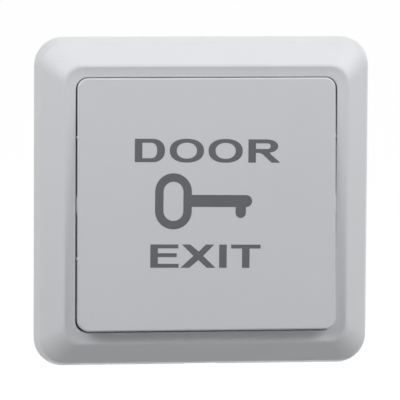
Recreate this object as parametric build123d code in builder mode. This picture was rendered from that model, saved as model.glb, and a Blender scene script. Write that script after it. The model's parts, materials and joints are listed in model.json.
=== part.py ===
# Door exit button: a bevelled wall plate around a large hinged paddle, over a two-terminal switch.
#
# Frame: +X to the right, +Z up, the front faces -Y. The wall plane is y = 0, and the origin lies in
# it, midway between the two wall screws. Heights are counted from the wall towards the front, so
# Plane.XZ.offset(height) is the plane at that height. Negative heights lie inside the wall box.
# A sketch on Plane.XZ reads (x, z), one on Plane.YZ reads (-height, z), and one on Plane.XY reads
# (x, -height).

import os
from math import asin, cos, degrees, sin

from build123d import *

# Trim frame, outside
plate_width = 86.0
plate_tall = 84.2
plate_corner = 7.4
lip_height = 5.1
lip_draft = 1.2
lip_corner = 6.5
bevel_width = 5.2
bevel_corner = 4.9
ridge_width = 0.6
ridge_fall = 0.25
ridge_height = 10.83
ridge_corner = 4.65
cove_width = 2.7
cove_depth = 0.31
cove_sag = 0.12
opening_corner = 3.1

# Trim frame, inside
frame_skin = 1.9
throat_wall = 1.5
throat_depth = 3.4
frame_rib = 1.0
frame_rib_z = 13.0
frame_rib_depth = 2.6
hook_z = 22.0
hook_width = 6.0
hook_thick = 1.4
hook_catch = 1.0
hook_nose = 1.1
hook_slope = 0.75
pry_width = 8.0
pry_depth = 1.2

# Mounting plate
plate_skin = 1.6
plate_standoff = 1.6
plate_rim = 1.6
plate_gap = 0.4
plate_rib = 1.2
wall_screw_spacing = 60.3
wall_slot_width = 4.4
wall_slot_length = 7.0
wall_pad_width = 12.0
wall_pad_tall = 9.6
wall_seat_depth = 0.8
wall_seat_round = 4.4
well_opening = 6.0
hook_gap = 0.3

# Paddle
paddle_proud = 0.4
paddle_side_gap = 0.4
paddle_top_gap = 0.38
paddle_bottom_gap = 0.4
paddle_corner = 2.7
paddle_skin = 2.0
paddle_wall = 1.4
paddle_depth = 6.9
paddle_edge_round = 0.5
press_travel = 3.5
paddle_rib = 1.0
paddle_rib_depth = 1.7
paddle_rib_x = 11.0
paddle_rib_z = 12.0
guide_proud = 0.22
guide_tall = 0.6
guide_z = (17.1, -13.6)
boss_proud = 0.15
boss_tall = 4.2
guide_depth = 4.6
head_notch_tall = 11.0
head_notch_depth = 1.6

# Hinge of the paddle
hinge_inset = 4.65
hinge_rise = 3.2
hinge_bar_radius = 1.5
hinge_clearance = 0.08
cradle_x = 21.2
cradle_width = 4.2
cradle_wall = 0.95
cradle_mouth = 2.5
cradle_play = 0.45
ear_thick = 1.5
ear_gap = 0.35
ear_tall = 5.0

# Stop hooks of the paddle
stop_x = 18.0
stop_inset = 3.8
stop_width = 5.0
stop_thick = 1.4
stop_catch = 0.95
stop_nose = 1.3
stop_play = 0.15
stop_window_gap = 0.32

# Switch housing, behind the wall plane
housing_depth = 14.0
housing_wall = 1.5
housing_front = 1.6
housing_round = 1.5
chamber_width = 27.0
chamber_tall = 27.0
partition = 1.2
pocket_width = 6.8
pocket_tall = 11.0
terminal_floor = 1.5
wire_channel = 3.4
well_radius = 4.6
well_wall = 1.1
well_floor = 1.2
guide_wall = 0.6

# Housing lid
lid_thick = 1.4
lid_ledge = 0.7
lid_gap = 0.15
lid_screw_inset = 2.4
lid_boss = 2.2

# Plunger and spring
plunger_radius = 2.5
plunger_clearance = 0.1
plunger_head_radius = 4.7
plunger_head_thick = 1.4
plunger_head_height = 5.0
plunger_play = 0.15
barb_proud = 0.45
barb_long = 1.25
plunger_nose_radius = 1.6
plunger_nose_long = 1.6
plunger_split = 1.0
post_radius = 2.4
post_play = 0.15
spring_wire = 0.6
spring_wire_sides = 4
spring_radius = 3.75
spring_turns = 4
spring_end_gap = 0.05

# Contacts and terminals
strip_thick = 0.8
strip_width = 6.0
strip_end_gap = 0.3
common_strip_reach = 3.5
leaf_thick = 0.3
leaf_width = 5.0
leaf_tip_width = 3.4
leaf_end_gap = 0.3
leaf_play = 0.15
contact_inset = 8.0
contact_radius = 1.5
contact_thick = 0.7
contact_tail = 0.9
contact_tail_rise = 0.25
contact_margin = 0.12
contact_back_play = 0.1
rivet_inset = 2.0
rivet_radius = 0.8
rivet_head = 1.35
rivet_head_thick = 0.45
fixed_pad_overlap = 2.4
joggle_run = 1.7
joggle_start = 3.9
strip_bend = 0.9

# Screws and clamps
terminal_screw_radius = 1.5
terminal_head_radius = 2.8
terminal_head_thick = 2.1
terminal_screw_long = 7.0
clamp_side = 6.2
clamp_thick = 1.0
small_screw_radius = 1.2
small_head_radius = 2.3
small_head_thick = 1.3
small_screw_long = 7.0
small_boss_wall = 1.2
housing_screw_z = 11.0
screw_hole_play = 0.05
screw_pass_play = 0.3
drive_width = 0.8
drive_span = 0.62
drive_depth = 0.7
head_sides = 18
shank_sides = 12

# How far a cut runs on past the surface that it opens
cut_margin = 1.0

# Heights and places that follow from the sizes
bevel_inset = lip_draft + bevel_width
ridge_inset = bevel_inset + ridge_width
opening_inset = ridge_inset + cove_width
opening_width = plate_width - 2 * opening_inset
opening_tall = plate_tall - 2 * opening_inset
opening_height = ridge_height - cove_depth
cavity_width = plate_width - 2 * (lip_draft + frame_skin)
cavity_tall = plate_tall - 2 * (lip_draft + frame_skin)
cavity_corner = lip_corner - frame_skin
plate_front = plate_standoff + plate_skin
base_width = cavity_width - 2 * plate_gap
base_tall = cavity_tall - 2 * plate_gap
base_corner = cavity_corner - plate_gap

paddle_width = opening_width - 2 * paddle_side_gap
paddle_top = opening_tall / 2 - paddle_top_gap
paddle_bottom = paddle_bottom_gap - opening_tall / 2
paddle_tall = paddle_top - paddle_bottom
paddle_middle = (paddle_top + paddle_bottom) / 2
paddle_face = opening_height + paddle_proud
paddle_inside = paddle_face - paddle_skin
paddle_foot = paddle_face - paddle_depth
hinge_z = paddle_top - hinge_inset
hinge_height = plate_front + hinge_rise
stop_z = paddle_bottom + stop_inset
rest_tilt = asin(press_travel / (hinge_z - paddle_bottom))

plunger_travel = hinge_z * rest_tilt
chamber_edge = chamber_width / 2
common_strip_end = chamber_edge - common_strip_reach
rivet_x = chamber_edge - rivet_inset
leaf_pad_x = chamber_edge - leaf_end_gap
contact_x = contact_inset - chamber_edge
leaf_swing = plunger_travel / common_strip_end
contact_travel = (common_strip_end - contact_x + contact_radius) * sin(leaf_swing)
plunger_reach = well_floor + plunger_play + barb_long + plunger_nose_long
contact_stack = leaf_thick + contact_thick + contact_travel + contact_margin + contact_thick + strip_thick
well_depth = housing_depth - lid_thick - contact_back_play - contact_stack - plunger_reach
well_bottom = -well_depth
guide_end = well_bottom - well_floor
barb_height = guide_end - plunger_play
nose_height = barb_height - barb_long
leaf_front = nose_height - plunger_nose_long
leaf_back = leaf_front - leaf_thick
strip_level = leaf_back - strip_thick / 2
fixed_contact_front = leaf_back - contact_thick - contact_travel - contact_margin
fixed_level = fixed_contact_front - contact_thick - strip_thick / 2
lid_front = lid_thick - housing_depth

pocket_inner = chamber_edge + partition
terminal_x = pocket_inner + pocket_width / 2
pocket_outer = pocket_inner + pocket_width
housing_width = 2 * (pocket_outer + housing_wall)
housing_tall = chamber_tall + 2 * housing_wall
terminal_block_tall = pocket_tall + 2 * housing_wall
clamp_back = leaf_back - strip_thick - clamp_thick
lid_screw_x = chamber_edge - lid_screw_inset
lid_screw_z = chamber_tall / 2 - lid_screw_inset

# The paddle is drawn as it lies when pressed home, parallel to the wall, on planes turned about the
# hinge by its tilt at rest. Heights and z values on these planes are those of the pressed paddle.
paddle_plane = Plane(
    origin=(
        0,
        -(hinge_height - hinge_height * cos(rest_tilt) + hinge_z * sin(rest_tilt)),
        hinge_z - hinge_z * cos(rest_tilt) - hinge_height * sin(rest_tilt),
    ),
    x_dir=(1, 0, 0),
    z_dir=(0, -cos(rest_tilt), sin(rest_tilt)),
)


def outline(height, inset, corner):
    """A rounded rectangle that lies a given inset inside the plate's edge, at a height."""
    with BuildSketch(Plane.XZ.offset(height)) as section:
        RectangleRounded(plate_width - 2 * inset, plate_tall - 2 * inset, corner)
    return section.sketch


# Hollow of the trim frame: the space between its lip and its throat, with the ribs left standing
with BuildPart() as frame_hollow:
    shoulder = lip_height - frame_skin / 2
    loft(
        [
            outline(0, lip_draft + frame_skin, cavity_corner),
            outline(shoulder, lip_draft + frame_skin, cavity_corner),
        ],
        ruled=True,
    )
    loft(
        [
            outline(shoulder, lip_draft + frame_skin, cavity_corner),
            outline(ridge_height - frame_skin, bevel_inset, bevel_corner),
        ],
        ruled=True,
    )
    rib_foot = ridge_height - frame_skin - frame_rib_depth
    with BuildSketch(Plane.XZ.offset(rib_foot)):
        with GridLocations(0, 2 * frame_rib_z, 1, 2):
            Rectangle(plate_width, frame_rib)
        with GridLocations(2 * frame_rib_z, 0, 2, 1):
            Rectangle(frame_rib, plate_tall)
    extrude(amount=frame_rib_depth, mode=Mode.SUBTRACT)

# Trim frame: the bevelled cover that snaps over the mounting plate
with BuildPart() as trim_frame:
    loft(
        [
            outline(0, 0, plate_corner),
            outline(lip_height, lip_draft, lip_corner),
            outline(ridge_height - ridge_fall, bevel_inset, bevel_corner),
            outline(ridge_height, ridge_inset, ridge_corner),
        ],
        ruled=True,
    )
    add(frame_hollow.part, mode=Mode.SUBTRACT)
    with BuildSketch(Plane.XZ.offset(opening_height - throat_depth)):
        RectangleRounded(
            opening_width + 2 * throat_wall,
            opening_tall + 2 * throat_wall,
            opening_corner + throat_wall,
        )
    extrude(amount=throat_depth)
    with BuildSketch(Plane.XZ):
        RectangleRounded(opening_width, opening_tall, opening_corner)
    extrude(amount=ridge_height, mode=Mode.SUBTRACT)
    middle_inset = ridge_inset + cove_width / 2
    middle_height = ridge_height - cove_depth / 2 - cove_sag
    loft(
        [
            outline(ridge_height, ridge_inset, ridge_corner),
            outline(middle_height, middle_inset, (ridge_corner + opening_corner) / 2),
            outline(opening_height, opening_inset, opening_corner),
        ],
        ruled=True,
        mode=Mode.SUBTRACT,
    )
    # Snap hooks on the left and right sides, each an arm with an inward nose
    hook_outer = cavity_width / 2
    hook_inner = hook_outer - hook_thick
    hook_foot = plate_standoff - hook_nose - hook_gap / 2
    with BuildSketch(Plane.XZ.offset(hook_foot)):
        with GridLocations(2 * (hook_outer - hook_thick / 2), 2 * hook_z, 2, 2):
            Rectangle(hook_thick, hook_width)
    extrude(amount=lip_height - hook_foot)
    with BuildSketch(Plane.XZ.offset(hook_foot)):
        with GridLocations(2 * (hook_inner - hook_catch / 2), 2 * hook_z, 2, 2):
            Rectangle(hook_catch, hook_width)
    extrude(amount=hook_nose)
    noses = trim_frame.edges().filter_by(Axis.Z).filter_by(
        lambda edge: abs(edge.center().Y + hook_foot) < 0.01
        and abs(abs(edge.center().X) - hook_inner + hook_catch) < 0.01
    )
    chamfer(noses, hook_slope)
    # Slot in the lower edge for the tip of a screwdriver that pries the frame off
    with BuildSketch(Plane.XZ):
        with Locations((0, (cavity_tall + plate_tall) / -4)):
            Rectangle(pry_width, (plate_tall - cavity_tall) / 2 + cut_margin)
    extrude(amount=pry_depth, mode=Mode.SUBTRACT)
trim_frame.part.label = "trim_frame"

# Mounting plate: an inverted tray with the hinge cradles, the wall-screw slots and the stop windows
with BuildPart() as mounting_plate:
    with BuildSketch(Plane.XZ):
        RectangleRounded(base_width, base_tall, base_corner)
    extrude(amount=plate_front)
    with BuildSketch(Plane.XZ):
        RectangleRounded(base_width - 2 * plate_rim, base_tall - 2 * plate_rim, base_corner - plate_rim)
    extrude(amount=plate_standoff, mode=Mode.SUBTRACT)
    # Pads behind the wall-screw slots, the seat of the housing and the stiffening ribs
    with BuildSketch(Plane.XZ):
        with GridLocations(wall_screw_spacing, 0, 2, 1):
            Rectangle(wall_pad_width, wall_pad_tall)
        Circle(well_opening + plate_rib)
        with GridLocations(0, 2 * housing_screw_z, 1, 2):
            Circle(small_head_radius + small_boss_wall)
        Rectangle(chamber_width, plate_rib)
        Rectangle(plate_rib, base_tall - plate_rim)
        with GridLocations(chamber_width, 0, 2, 1):
            Rectangle(plate_rib, base_tall - plate_rim)
        with GridLocations(0, housing_tall + plate_rib, 1, 2):
            Rectangle(base_width - plate_rim, plate_rib)
    extrude(amount=plate_standoff)
    # Lowered seats for the wall-screw heads, with the slots through them
    with BuildSketch(Plane.XZ.offset(plate_front - wall_seat_depth)):
        with GridLocations(wall_screw_spacing, 0, 2, 1):
            SlotOverall(wall_slot_length + 2 * wall_seat_round - wall_slot_width, 2 * wall_seat_round)
    extrude(amount=wall_seat_depth, mode=Mode.SUBTRACT)
    with BuildSketch(Plane.XZ):
        with GridLocations(wall_screw_spacing, 0, 2, 1):
            SlotOverall(wall_slot_length, wall_slot_width)
        Circle(well_opening)
        with GridLocations(0, 2 * housing_screw_z, 1, 2):
            Circle(small_screw_radius + screw_pass_play)
    extrude(amount=plate_front, mode=Mode.SUBTRACT)
    # Notches for the frame's snap hooks
    notch_depth = hook_thick + hook_gap
    with BuildSketch(Plane.XZ):
        with GridLocations(base_width - notch_depth, 2 * hook_z, 2, 2):
            Rectangle(notch_depth, hook_width + 2 * hook_gap)
    extrude(amount=plate_front, mode=Mode.SUBTRACT)
    with BuildSketch(Plane.XZ):
        with GridLocations(base_width - 2 * notch_depth - hook_catch, 2 * hook_z, 2, 2):
            Rectangle(hook_catch + 2 * hook_gap + notch_depth, hook_width + 2 * hook_gap)
    extrude(amount=plate_standoff, mode=Mode.SUBTRACT)
    # Windows for the paddle's stop hooks
    stop_swing = (hinge_height - plate_standoff + press_travel) * sin(rest_tilt)
    window_tall = stop_thick + stop_swing + 2 * stop_window_gap
    with BuildSketch(Plane.XZ):
        with Locations((-stop_x, stop_z - stop_swing / 2), (stop_x, stop_z - stop_swing / 2)):
            Rectangle(stop_width + 2 * stop_window_gap, window_tall)
    extrude(amount=plate_front, mode=Mode.SUBTRACT)
    with BuildSketch(Plane.XZ):
        with Locations((-stop_x, stop_z - stop_catch), (stop_x, stop_z - stop_catch)):
            Rectangle(stop_width + 2 * stop_window_gap, window_tall + 2 * stop_catch)
    extrude(amount=plate_standoff, mode=Mode.SUBTRACT)
    # Cradles that the paddle's hinge bars snap into
    bore = hinge_bar_radius + hinge_clearance
    cradle_height = paddle_inside - cradle_play
    for side in (-1, 1):
        with BuildSketch(Plane.YZ.offset(side * cradle_x - cradle_width / 2)):
            with Locations((-hinge_height, hinge_z)):
                Circle(bore + cradle_wall)
            with Locations((-(plate_front + hinge_height) / 2, hinge_z)):
                Rectangle(hinge_height - plate_front, 2 * (bore + cradle_wall))
            with Locations((-hinge_height, hinge_z)):
                Circle(bore, mode=Mode.SUBTRACT)
            with Locations((-hinge_height - bore, hinge_z)):
                Rectangle(2 * bore, cradle_mouth, mode=Mode.SUBTRACT)
            with Locations((-cradle_height - bore, hinge_z)):
                Rectangle(2 * bore, 2 * (bore + cradle_wall + cut_margin), mode=Mode.SUBTRACT)
        extrude(amount=cradle_width)
mounting_plate.part.label = "mounting_plate"

# Paddle: a shelled push plate with its hinge bars, stop hooks and pusher post
with BuildPart() as button_paddle:
    with BuildSketch(paddle_plane.offset(paddle_foot)):
        with Locations((0, paddle_middle)):
            RectangleRounded(paddle_width, paddle_tall, paddle_corner)
    extrude(amount=paddle_depth)
    face_edges = button_paddle.faces().sort_by(Axis(paddle_plane.origin, paddle_plane.z_dir))[-1].edges()
    fillet(face_edges, paddle_edge_round)
    with BuildSketch(paddle_plane.offset(paddle_foot)):
        with Locations((0, paddle_middle)):
            RectangleRounded(
                paddle_width - 2 * paddle_wall,
                paddle_tall - 2 * paddle_wall,
                paddle_corner - paddle_wall / 2,
            )
    extrude(amount=paddle_depth - paddle_skin, mode=Mode.SUBTRACT)
    # Notches in the side walls that clear the wall-screw heads
    with BuildSketch(paddle_plane.offset(paddle_foot)):
        Rectangle(paddle_width + 2 * cut_margin, head_notch_tall)
        Rectangle(paddle_width - 2 * (paddle_wall + cut_margin), head_notch_tall, mode=Mode.SUBTRACT)
    extrude(amount=head_notch_depth, mode=Mode.SUBTRACT)
    # Stiffening ribs on the back of the face
    with BuildSketch(paddle_plane.offset(paddle_inside - paddle_rib_depth)):
        with Locations((0, -paddle_rib_z), (0, paddle_rib_z)):
            Rectangle(paddle_width - paddle_wall, paddle_rib)
        with Locations((-paddle_rib_x, paddle_middle), (paddle_rib_x, paddle_middle)):
            Rectangle(paddle_rib, paddle_tall - paddle_wall)
        Rectangle(2 * paddle_rib_x, paddle_rib)
        Rectangle(paddle_rib, 2 * paddle_rib_z)
    extrude(amount=paddle_rib_depth)
    # Pusher post over the plunger
    post_foot = plunger_head_height + post_play - plunger_travel
    with BuildSketch(paddle_plane.offset(post_foot)):
        Circle(post_radius)
    extrude(amount=paddle_inside - post_foot)
    # Hinge bars, each held between two ears
    ear_x = cradle_width / 2 + ear_gap + ear_thick / 2
    for side in (-1, 1):
        with BuildSketch(paddle_plane.offset(hinge_height - hinge_bar_radius)):
            for ear in (-1, 1):
                with Locations((side * cradle_x + ear * ear_x, hinge_z)):
                    Rectangle(ear_thick, ear_tall)
        extrude(amount=paddle_inside - hinge_height + hinge_bar_radius)
        bar_long = cradle_width + 2 * ear_gap + ear_thick
        with BuildSketch(Plane.YZ.offset(side * cradle_x - bar_long / 2)):
            with Locations((-hinge_height, hinge_z)):
                Circle(hinge_bar_radius)
        extrude(amount=bar_long)
    # Stop hooks that catch behind the mounting plate when the paddle is out
    stop_drop = (hinge_z - stop_z) * sin(rest_tilt)
    stop_shoulder = plate_standoff - stop_play - stop_drop
    with BuildSketch(paddle_plane.offset(stop_shoulder - stop_nose)):
        with Locations((-stop_x, stop_z), (stop_x, stop_z)):
            Rectangle(stop_width, stop_thick)
    extrude(amount=paddle_inside - stop_shoulder + stop_nose)
    with BuildSketch(paddle_plane.offset(stop_shoulder - stop_nose)):
        nose_z = stop_z - (stop_thick + stop_catch) / 2
        with Locations((-stop_x, nose_z), (stop_x, nose_z)):
            Rectangle(stop_width, stop_catch)
    extrude(amount=stop_nose)
    # Guide ribs and the mid boss on both side walls
    with BuildSketch(paddle_plane.offset(paddle_face - guide_depth)):
        for z in guide_z:
            with Locations((0, z)):
                Rectangle(paddle_width + 2 * guide_proud, guide_tall)
        Rectangle(paddle_width + 2 * boss_proud, boss_tall)
        Rectangle(paddle_width - paddle_wall, paddle_tall, mode=Mode.SUBTRACT)
    extrude(amount=guide_depth - paddle_edge_round)
button_paddle.part.label = "button_paddle"

# Switch housing: chamber, spring well with the plunger guide, and two terminal pockets
with BuildPart() as switch_housing:
    with BuildSketch(Plane.XZ.offset(-housing_depth)):
        Rectangle(2 * pocket_inner, housing_tall)
        Rectangle(housing_width, terminal_block_tall)
    extrude(amount=housing_depth)
    fillet(switch_housing.edges().filter_by(Axis.Y), housing_round)
    # Chamber, and the ledge round its mouth for the lid
    with BuildSketch(Plane.XZ.offset(-housing_depth)):
        Rectangle(chamber_width, chamber_tall)
    extrude(amount=housing_depth - housing_front, mode=Mode.SUBTRACT)
    with BuildSketch(Plane.XZ.offset(-housing_depth)):
        Rectangle(chamber_width + 2 * lid_ledge, chamber_tall + 2 * lid_ledge)
    extrude(amount=lid_thick, mode=Mode.SUBTRACT)
    # Terminal pockets from the back, and the coring in front of them
    with BuildSketch(Plane.XZ.offset(-housing_depth)):
        with GridLocations(2 * terminal_x, 0, 2, 1):
            Rectangle(pocket_width, pocket_tall)
        with GridLocations(2 * terminal_x, 0, 2, 1):
            with Locations((0, -terminal_block_tall / 2)):
                Rectangle(wire_channel, 2 * (housing_wall + cut_margin))
    extrude(amount=housing_depth + leaf_back, mode=Mode.SUBTRACT)
    with BuildSketch(Plane.XZ):
        with GridLocations(2 * terminal_x, 0, 2, 1):
            Rectangle(pocket_width, pocket_tall)
    extrude(amount=leaf_back + terminal_floor, mode=Mode.SUBTRACT)
    # Spring well with the guide tube in its middle
    with BuildSketch(Plane.XZ.offset(guide_end)):
        Circle(well_radius + well_wall)
    extrude(amount=-guide_end)
    with BuildSketch(Plane.XZ.offset(well_bottom)):
        Circle(well_radius)
        Circle(plunger_radius + plunger_clearance + guide_wall, mode=Mode.SUBTRACT)
    extrude(amount=well_depth, mode=Mode.SUBTRACT)
    with BuildSketch(Plane.XZ.offset(guide_end)):
        Circle(plunger_radius + plunger_clearance)
    extrude(amount=-guide_end, mode=Mode.SUBTRACT)
    # Bosses for the screws from the plate and from the lid
    with BuildSketch(Plane.XZ.offset(-small_screw_long)):
        with GridLocations(0, 2 * housing_screw_z, 1, 2):
            Circle(small_screw_radius + small_boss_wall)
    extrude(amount=small_screw_long)
    with BuildSketch(Plane.XZ.offset(lid_front)):
        with Locations((lid_screw_x, lid_screw_z), (-lid_screw_x, -lid_screw_z)):
            Circle(lid_boss)
            Rectangle(2 * lid_screw_inset, 2 * lid_screw_inset)
    extrude(amount=-lid_front - housing_front / 2)
    with BuildSketch(Plane.XZ.offset(-small_screw_long)):
        with GridLocations(0, 2 * housing_screw_z, 1, 2):
            Circle(small_screw_radius + screw_hole_play)
    extrude(amount=small_screw_long, mode=Mode.SUBTRACT)
    with BuildSketch(Plane.XZ.offset(lid_front)):
        with Locations((lid_screw_x, lid_screw_z), (-lid_screw_x, -lid_screw_z)):
            Circle(small_screw_radius + screw_hole_play)
    extrude(amount=small_screw_long, mode=Mode.SUBTRACT)
    # Slots in the partitions for the brass strips, and holes for the terminal screws
    with BuildSketch(Plane.XZ.offset(-housing_depth)):
        with GridLocations(2 * (chamber_edge + partition / 2), 0, 2, 1):
            Rectangle(partition, strip_width + 2 * strip_end_gap)
    extrude(amount=housing_depth + leaf_back, mode=Mode.SUBTRACT)
    with BuildSketch(Plane.XZ.offset(leaf_back)):
        with GridLocations(2 * terminal_x, 0, 2, 1):
            Circle(terminal_screw_radius + screw_pass_play)
    extrude(amount=terminal_floor, mode=Mode.SUBTRACT)
switch_housing.part.label = "switch_housing"

# Lid of the housing, with a tongue over each strip
with BuildPart() as housing_lid:
    lid_width = chamber_width + 2 * (lid_ledge - lid_gap)
    with BuildSketch(Plane.XZ.offset(-housing_depth)):
        Rectangle(lid_width, chamber_tall + 2 * (lid_ledge - lid_gap))
    extrude(amount=lid_thick)
    tongue_thick = partition / 2 + lid_ledge - lid_gap
    with BuildSketch(Plane.XZ.offset(lid_front)):
        with GridLocations(lid_width - tongue_thick, 0, 2, 1):
            Rectangle(tongue_thick, strip_width)
    extrude(amount=strip_level - strip_thick / 2 - lid_gap / 2 - lid_front)
    with BuildSketch(Plane.XZ.offset(-housing_depth)):
        with Locations((lid_screw_x, lid_screw_z), (-lid_screw_x, -lid_screw_z)):
            Circle(small_screw_radius + screw_pass_play)
    extrude(amount=lid_thick, mode=Mode.SUBTRACT)
housing_lid.part.label = "housing_lid"

# Plunger: a mushroom head, a stem and a split, barbed end that pushes the leaf
with BuildPart() as plunger:
    head_foot = plunger_head_height - plunger_head_thick
    nose_tip = leaf_front + leaf_play
    with BuildSketch(Plane.XY):
        with BuildLine():
            Polyline(
                (0, -plunger_head_height),
                (plunger_head_radius, -plunger_head_height),
                (plunger_head_radius, -head_foot),
                (plunger_radius, -head_foot),
                (plunger_radius, -barb_height),
                (plunger_radius + barb_proud, -barb_height),
                (plunger_nose_radius, -nose_height),
                (plunger_nose_radius, -nose_tip),
                (0, -nose_tip),
                close=True,
            )
        make_face()
    revolve(axis=Axis.Y)
    with BuildSketch(Plane.XZ.offset(leaf_front)):
        Rectangle(plunger_split, 2 * (plunger_radius + cut_margin))
    extrude(amount=well_bottom - leaf_front, mode=Mode.SUBTRACT)
plunger.part.label = "plunger"

# Return spring between the well's floor and the plunger's head
with BuildPart() as return_spring:
    coil_foot = well_bottom + spring_wire / 2 + spring_end_gap
    coil_top = plunger_head_height - plunger_head_thick - spring_wire / 2 - spring_end_gap
    with BuildLine() as coil:
        Helix(
            pitch=(coil_top - coil_foot) / spring_turns,
            height=coil_top - coil_foot,
            radius=spring_radius,
            center=(0, -coil_foot, 0),
            direction=(0, -1, 0),
        )
    with BuildSketch(Plane(origin=coil.line @ 0, z_dir=coil.line % 0)):
        RegularPolygon(spring_wire / 2, spring_wire_sides)
    sweep(is_frenet=True)
return_spring.part.label = "return_spring"


def strip_profile(points):
    """The edge-on outline of a bent brass strip along the given points of its middle line."""
    with BuildSketch(Plane.XY.offset(-strip_width / 2)) as profile:
        with BuildLine():
            if len(points) > 2:
                FilletPolyline(*points, radius=strip_bend)
            else:
                Line(*points)
        trace(line_width=strip_thick)
    return profile.sketch


# Common terminal: the strip that carries the leaf, with a tapped hole in its pocket
strip_end = pocket_outer - strip_end_gap
with BuildPart() as common_terminal:
    extrude(
        strip_profile([(common_strip_end, -strip_level), (strip_end, -strip_level)]),
        amount=strip_width,
    )
    with BuildSketch(Plane.XZ.offset(strip_level - strip_thick / 2)):
        with Locations((terminal_x, 0)):
            Circle(terminal_screw_radius + screw_hole_play)
        with Locations((rivet_x, 0)):
            Circle(rivet_radius + screw_hole_play)
    extrude(amount=strip_thick, mode=Mode.SUBTRACT)
common_terminal.part.label = "common_terminal"

# Open terminal: the joggled strip that carries the fixed contact
fixed_pad_end = contact_x + fixed_pad_overlap
with BuildPart() as open_terminal:
    extrude(
        strip_profile(
            [
                (fixed_pad_end, -fixed_level),
                (contact_x - joggle_start, -fixed_level),
                (contact_x - joggle_start - joggle_run, -strip_level),
                (-strip_end, -strip_level),
            ]
        ),
        amount=strip_width,
    )
    with BuildSketch(Plane.XZ.offset(strip_level - strip_thick / 2)):
        with Locations((-terminal_x, 0)):
            Circle(terminal_screw_radius + screw_hole_play)
    extrude(amount=strip_thick, mode=Mode.SUBTRACT)
    with BuildSketch(Plane.XZ.offset(fixed_level - strip_thick / 2)):
        with Locations((contact_x, 0)):
            Circle(contact_tail + screw_hole_play)
    extrude(amount=strip_thick, mode=Mode.SUBTRACT)
open_terminal.part.label = "open_terminal"

# Contact leaf: a tapered spring blade with the rivet hole and the contact hole
with BuildPart() as contact_leaf:
    with BuildSketch(Plane.XZ.offset(leaf_back)):
        with BuildLine():
            half = leaf_width / 2
            tip_half = leaf_tip_width / 2
            root = Polyline(
                (contact_x, tip_half), (common_strip_end, half), (leaf_pad_x, half), (leaf_pad_x, -half),
                (common_strip_end, -half), (contact_x, -tip_half),
            )
            ThreePointArc(root @ 1, (contact_x - tip_half, 0), root @ 0)
        make_face()
        with Locations((rivet_x, 0)):
            Circle(rivet_radius + screw_hole_play, mode=Mode.SUBTRACT)
        with Locations((contact_x, 0)):
            Circle(contact_tail + screw_hole_play, mode=Mode.SUBTRACT)
    extrude(amount=leaf_thick)
contact_leaf.part.label = "contact_leaf"

# Rivet that joins the leaf to the common terminal
with BuildPart() as leaf_rivet:
    with BuildSketch(Plane.XZ.offset(strip_level - strip_thick / 2 - rivet_head_thick)):
        with Locations((rivet_x, 0)):
            Circle(rivet_head)
    extrude(amount=rivet_head_thick)
    with BuildSketch(Plane.XZ.offset(strip_level - strip_thick / 2)):
        with Locations((rivet_x, 0)):
            Circle(rivet_radius)
    extrude(amount=strip_thick + leaf_thick)
    with BuildSketch(Plane.XZ.offset(leaf_front)):
        with Locations((rivet_x, 0)):
            Circle(rivet_head)
    extrude(amount=rivet_head_thick)
leaf_rivet.part.label = "leaf_rivet"


def contact_button(disc, tail):
    """A contact: a disc with a tail through its carrier, each between two heights."""
    with BuildPart() as button:
        for (low, high), radius in ((disc, contact_radius), (tail, contact_tail)):
            with BuildSketch(Plane.XZ.offset(low)):
                with Locations((contact_x, 0)):
                    Circle(radius)
            extrude(amount=high - low)
    return button.part


# Moving contact on the leaf's free end, with its tail spread on the front side
with BuildPart() as moving_contact:
    add(
        contact_button(
            (leaf_back - contact_thick, leaf_back),
            (leaf_back, leaf_front + contact_tail_rise),
        )
    )
moving_contact.part.label = "moving_contact"

# Fixed contact on the open terminal
with BuildPart() as fixed_contact:
    fixed_contact_back = fixed_contact_front - contact_thick
    add(
        contact_button(
            (fixed_contact_back, fixed_contact_front),
            (fixed_contact_back - strip_thick, fixed_contact_back),
        )
    )
fixed_contact.part.label = "fixed_contact"


def screw_group(points, seat, facing, head_radius, head_thick, shank_radius, long):
    """Pan-head screws at (x, z) points. The head stands on the seat height and points to facing."""
    with BuildPart() as group:
        with BuildSketch(Plane.XZ.offset(seat)):
            with Locations(*points):
                RegularPolygon(head_radius, head_sides)
        extrude(amount=facing * head_thick)
        crown = seat + facing * head_thick
        with BuildSketch(Plane.XZ.offset(crown)):
            with Locations(*points):
                Rectangle(2 * head_radius * drive_span, drive_width)
                Rectangle(drive_width, 2 * head_radius * drive_span)
        extrude(amount=-facing * drive_depth, mode=Mode.SUBTRACT)
        with BuildSketch(Plane.XZ.offset(seat)):
            with Locations(*points):
                RegularPolygon(shank_radius, shank_sides)
        extrude(amount=-facing * long)
    return group.part


# Screws that hold the housing to the plate, the lid to the housing, and the wires
with BuildPart() as housing_screws:
    add(
        screw_group(
            [(0, housing_screw_z), (0, -housing_screw_z)],
            plate_front,
            1,
            small_head_radius,
            small_head_thick,
            small_screw_radius,
            small_screw_long,
        )
    )
housing_screws.part.label = "housing_screws"

with BuildPart() as lid_screws:
    add(
        screw_group(
            [(lid_screw_x, lid_screw_z), (-lid_screw_x, -lid_screw_z)],
            -housing_depth,
            -1,
            small_head_radius,
            small_head_thick,
            small_screw_radius,
            small_screw_long,
        )
    )
lid_screws.part.label = "lid_screws"

with BuildPart() as terminal_screws:
    add(
        screw_group(
            [(terminal_x, 0), (-terminal_x, 0)],
            clamp_back,
            -1,
            terminal_head_radius,
            terminal_head_thick,
            terminal_screw_radius,
            terminal_screw_long,
        )
    )
terminal_screws.part.label = "terminal_screws"


def wire_clamp(x):
    """The square saddle that a terminal screw presses onto the wire."""
    with BuildPart() as clamp:
        with BuildSketch(Plane.XZ.offset(clamp_back)):
            with Locations((x, 0)):
                Rectangle(clamp_side, clamp_side)
                Circle(terminal_screw_radius + screw_pass_play, mode=Mode.SUBTRACT)
        extrude(amount=clamp_thick)
    return clamp.part


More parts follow.
